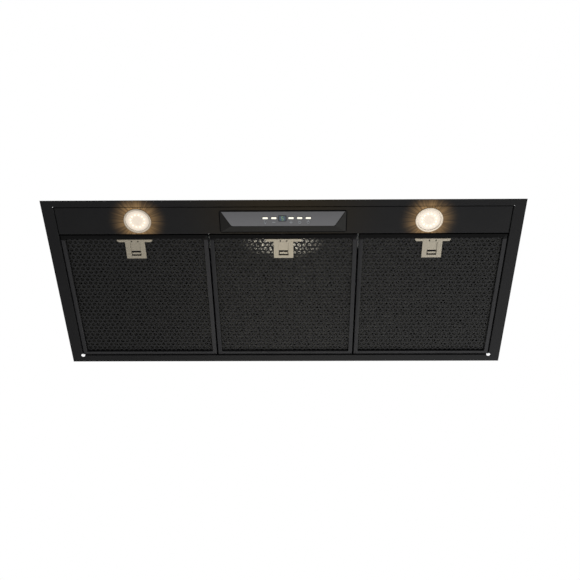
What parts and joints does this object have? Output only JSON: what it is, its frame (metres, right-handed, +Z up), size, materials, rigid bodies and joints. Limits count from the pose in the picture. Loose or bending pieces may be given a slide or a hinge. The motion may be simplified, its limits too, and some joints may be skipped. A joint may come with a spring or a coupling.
{
  "type": "range hood insert",
  "caption": "Under-cabinet range hood insert: black steel flange, hinged mesh filters with latches, lamps, sloped key housing, blower box and duct collar with damper flaps.",
  "frame": {"origin": "middle of the flange's upper face, the face that meets the cabinet", "axes": "+Z up, along the duct; +X to the cook's right, along the insert; +Y towards the wall"},
  "size_m": [0.9, 0.387, 0.3162],
  "materials": {
    "satin_black_steel": "satin black powder coat on 1 mm steel",
    "filter_frame_black": "satin black coat on folded sheet",
    "grille_black": "perforated sheet, black",
    "mesh_aluminium": "layers of expanded aluminium mesh",
    "latch_nickel": "warm nickel-plated sheet",
    "spring_steel": "bright spring strip",
    "lamp_rim": "satin turned aluminium",
    "lamp_lens": "frosted diffuser",
    "circuit_board": "green laminate",
    "bare_aluminium": "mill finish",
    "housing_black": "fine-textured moulded plastic",
    "fascia_film": "grey printed film",
    "display_blue": "lit window",
    "key_white": "lit translucent caps",
    "galvanised_steel": "galvanised sheet",
    "collar_steel": "galvanised sheet, rolled",
    "pin_steel": "ground steel rod",
    "motor_grey": "grey enamel",
    "white_plastic": "moulded plastic",
    "gland_black": "moulded nylon",
    "zinc_screws": "bright zinc plate"
  },
  "bodies": {
    "root": {"chassis_shell": "satin_black_steel", "front_panel": "satin_black_steel", "lamp_bezels": "lamp_rim", "lamp_lenses": "lamp_lens", "lamp_boards": "circuit_board", "control_board": "circuit_board", "power_board": "circuit_board", "lamp_heat_sinks": "bare_aluminium", "control_housing": "housing_black", "control_fascia": "fascia_film", "display_window": "display_blue", "top_deck": "galvanised_steel", "motor_box": "galvanised_steel", "volute_scroll": "galvanised_steel", "volute_side_left": "galvanised_steel", "volute_side_right": "galvanised_steel", "supply_box": "galvanised_steel", "supply_box_lid": "galvanised_steel", "duct_collar": "collar_steel", "damper_pin": "pin_steel", "motor_body": "motor_grey", "run_capacitor": "white_plastic", "terminal_block": "white_plastic", "cable_gland": "gland_black", "body_screws": "zinc_screws"},
    "filter_1": {"filter_1_frame": "filter_frame_black", "filter_1_grille": "grille_black", "filter_1_core": "mesh_aluminium", "filter_1_latch_cover": "latch_nickel", "filter_1_latch_spring": "spring_steel"},
    "latch_1": {"filter_1_latch_slider": "latch_nickel"},
    "filter_2": {"filter_2_frame": "filter_frame_black", "filter_2_grille": "grille_black", "filter_2_core": "mesh_aluminium", "filter_2_latch_cover": "latch_nickel", "filter_2_latch_spring": "spring_steel"},
    "latch_2": {"filter_2_latch_slider": "latch_nickel"},
    "filter_3": {"filter_3_frame": "filter_frame_black", "filter_3_grille": "grille_black", "filter_3_core": "mesh_aluminium", "filter_3_latch_cover": "latch_nickel", "filter_3_latch_spring": "spring_steel"},
    "latch_3": {"filter_3_latch_slider": "latch_nickel"},
    "key_light": {"key_light": "key_white"},
    "key_minus": {"key_minus": "key_white"},
    "key_plus": {"key_plus": "key_white"},
    "key_timer": {"key_timer": "key_white"},
    "key_power": {"key_power": "key_white"},
    "impeller": {"impeller_wheel": "bare_aluminium", "impeller_shaft": "pin_steel"},
    "damper_front": {"damper_flap_front": "collar_steel"},
    "damper_rear": {"damper_flap_rear": "collar_steel"}
  },
  "joints": [
    {"name": "filter_1_swing", "type": "hinge", "parent": "root", "child": "filter_1", "pos_m": [-0.285, 0.177, 0.001], "axis": [1, 0, 0], "range_deg": [0, 45]},
    {"name": "latch_1_slide", "type": "slide", "parent": "filter_1", "child": "latch_1", "axis": [0, 1, 0], "range_m": [0, 0.003], "stiffness_N_per_m": 300, "springref_m": -0.003, "deforming": ["filter_1_latch_spring"]},
    {"name": "filter_2_swing", "type": "hinge", "parent": "root", "child": "filter_2", "pos_m": [0, 0.177, 0.001], "axis": [1, 0, 0], "range_deg": [0, 45]},
    {"name": "latch_2_slide", "type": "slide", "parent": "filter_2", "child": "latch_2", "axis": [0, 1, 0], "range_m": [0, 0.003], "stiffness_N_per_m": 300, "springref_m": -0.003, "deforming": ["filter_2_latch_spring"]},
    {"name": "filter_3_swing", "type": "hinge", "parent": "root", "child": "filter_3", "pos_m": [0.285, 0.177, 0.001], "axis": [1, 0, 0], "range_deg": [0, 45]},
    {"name": "latch_3_slide", "type": "slide", "parent": "filter_3", "child": "latch_3", "axis": [0, 1, 0], "range_m": [0, 0.003], "stiffness_N_per_m": 300, "springref_m": -0.003, "deforming": ["filter_3_latch_spring"]},
    {"name": "key_light_press", "type": "slide", "parent": "root", "child": "key_light", "axis": [0, 0.359, 0.9333], "range_m": [0, 0.0008], "stiffness_N_per_m": 500, "springref_m": -0.001},
    {"name": "key_minus_press", "type": "slide", "parent": "root", "child": "key_minus", "axis": [0, 0.359, 0.9333], "range_m": [0, 0.0008], "stiffness_N_per_m": 500, "springref_m": -0.001},
    {"name": "key_plus_press", "type": "slide", "parent": "root", "child": "key_plus", "axis": [0, 0.359, 0.9333], "range_m": [0, 0.0008], "stiffness_N_per_m": 500, "springref_m": -0.001},
    {"name": "key_timer_press", "type": "slide", "parent": "root", "child": "key_timer", "axis": [0, 0.359, 0.9333], "range_m": [0, 0.0008], "stiffness_N_per_m": 500, "springref_m": -0.001},
    {"name": "key_power_press", "type": "slide", "parent": "root", "child": "key_power", "axis": [0, 0.359, 0.9333], "range_m": [0, 0.0008], "stiffness_N_per_m": 500, "springref_m": -0.001},
    {"name": "impeller_spin", "type": "hinge", "parent": "root", "child": "impeller", "pos_m": [0, 0.04, 0.15], "axis": [1, 0, 0], "continuous": true},
    {"name": "damper_front_flap", "type": "hinge", "parent": "root", "child": "damper_front", "pos_m": [0, 0.068, 0.2635], "axis": [-1, 0, 0], "range_deg": [0, 80]},
    {"name": "damper_rear_flap", "type": "hinge", "parent": "root", "child": "damper_rear", "pos_m": [0, 0.068, 0.2635], "axis": [1, 0, 0], "range_deg": [0, 80]}
  ]
}
